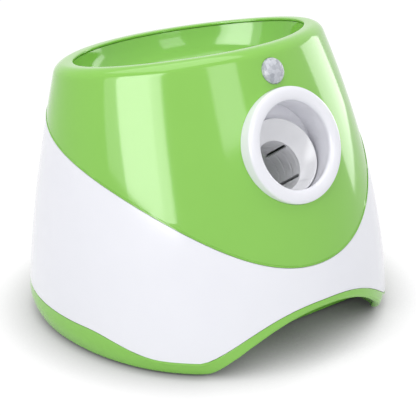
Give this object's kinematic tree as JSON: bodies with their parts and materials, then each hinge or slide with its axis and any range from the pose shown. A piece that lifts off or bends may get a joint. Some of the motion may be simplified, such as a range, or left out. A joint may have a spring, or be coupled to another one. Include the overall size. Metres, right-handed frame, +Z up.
{
  "type": "ball launcher",
  "caption": "Automatic dog ball launcher: tapered floor-standing body, ball bowl on top, round tilted nozzle, and a geared spring plunger inside.",
  "frame": {"origin": "floor level, under the middle of the bounding box", "axes": "+Z up, -Y towards the nozzle and the front feet, +X to the right when seen from the front of the nozzle looking at the back: the motor's side"},
  "size_m": [0.3176, 0.3022, 0.2516],
  "materials": {
    "green_shell": "glossy moulded ABS, grass green",
    "white_shell": "glossy moulded ABS, white",
    "grey_acetal": "moulded acetal",
    "black_rubber": "moulded rubber",
    "spring_steel": "drawn spring wire",
    "dark_nylon": "glass-filled nylon",
    "zinc_steel": "zinc-plated screws",
    "natural_acetal": "natural acetal gears",
    "bright_steel": "ground steel rod",
    "sintered_bronze": "sintered bronze",
    "zinc_can": "zinc-plated drawn steel",
    "turned_brass": "cut brass",
    "frosted_lens": "frosted polyethylene lens",
    "brass_cap": "nickel and laminate",
    "grey_panel": "spark-eroded ABS, grey",
    "red_button": "moulded ABS, red",
    "green_light": "epoxy LED body",
    "board_green": "solder-masked laminate",
    "cell_jacket": "printed cell jacket",
    "nickel_steel": "nickel-plated spring steel",
    "wire_jacket": "PVC wire jacket"
  },
  "bodies": {
    "housing": {"upper_shell": "green_shell", "lower_shell": "white_shell", "base": "green_shell", "hopper_bowl": "green_shell", "ball_chute": "white_shell", "nozzle_ring": "white_shell", "launch_tube": "white_shell", "plunger_spring": "spring_steel", "spring_cap": "dark_nylon", "gearbox_left": "dark_nylon", "gearbox_right": "dark_nylon", "gearbox_screws": "zinc_steel", "shaft_bushes": "sintered_bronze", "gear_pins": "bright_steel", "motor_can": "zinc_can", "sensor_lens": "frosted_lens", "sensor_holder": "dark_nylon", "motion_sensor": "brass_cap", "ball_detector": "dark_nylon", "control_panel": "grey_panel", "indicator_lights": "green_light", "dc_socket": "dark_nylon", "control_board": "board_green", "key_switches": "dark_nylon", "buzzer": "dark_nylon", "board_screws": "zinc_steel", "battery_box": "dark_nylon", "battery_cells": "cell_jacket", "battery_contacts": "nickel_steel", "floor_pads": "black_rubber", "shell_screws": "zinc_steel", "wiring": "wire_jacket"},
    "plunger": {"plunger": "grey_acetal", "plunger_pad": "black_rubber"},
    "sector_gear": {"sector_gear": "dark_nylon", "final_gear": "natural_acetal", "sector_shaft": "bright_steel"},
    "middle_gear": {"middle_gear": "natural_acetal"},
    "first_gear": {"first_gear": "natural_acetal"},
    "motor_rotor": {"motor_rotor": "bright_steel", "motor_pinion": "turned_brass"},
    "power_button": {"power_button": "red_button"},
    "range_button": {"range_button": "white_shell"},
    "battery_door": {"battery_door": "green_shell"}
  },
  "joints": [
    {"name": "plunger_slide", "type": "slide", "parent": "housing", "child": "plunger", "axis": [0, 0.8192, -0.5736], "range_m": [0, 0.05], "stiffness_N_per_m": 150, "springref_m": -0.02, "deforming": ["plunger_spring"]},
    {"name": "sector_turn", "type": "hinge", "parent": "housing", "child": "sector_gear", "pos_m": [0, -0.04317, 0.05316], "axis": [-1, 0, 0], "range_deg": [0, 119.36]},
    {"name": "middle_gear_turn", "type": "hinge", "parent": "housing", "child": "middle_gear", "pos_m": [0, -0.01386, 0.04307], "axis": [-1, 0, 0], "range_deg": [-498, 0]},
    {"name": "first_gear_turn", "type": "hinge", "parent": "housing", "child": "first_gear", "pos_m": [0, 0.0022, 0.02524], "axis": [-1, 0, 0], "range_deg": [0, 1990]},
    {"name": "motor_turn", "type": "hinge", "parent": "housing", "child": "motor_rotor", "pos_m": [0, 0.023, 0.02524], "axis": [-1, 0, 0], "range_deg": [-6633, 0]},
    {"name": "power_press", "type": "slide", "parent": "housing", "child": "power_button", "axis": [0, -1, 0], "range_m": [0, 0.0012], "stiffness_N_per_m": 400, "springref_m": -0.0006},
    {"name": "range_press", "type": "slide", "parent": "housing", "child": "range_button", "axis": [0, -1, 0], "range_m": [0, 0.0012], "stiffness_N_per_m": 400, "springref_m": -0.0006},
    {"name": "battery_door_swing", "type": "hinge", "parent": "housing", "child": "battery_door", "pos_m": [0, 0.1206, 0.0023], "axis": [1, 0, 0], "range_deg": [0, 95]}
  ],
  "couplings": [
    {"joint": "plunger_slide", "follows": "sector_turn", "m_per_rad": 0.024},
    {"joint": "middle_gear_turn", "follows": "sector_turn", "ratio": -4.1667},
    {"joint": "first_gear_turn", "follows": "sector_turn", "ratio": 16.667},
    {"joint": "motor_turn", "follows": "sector_turn", "ratio": -55.556}
  ]
}
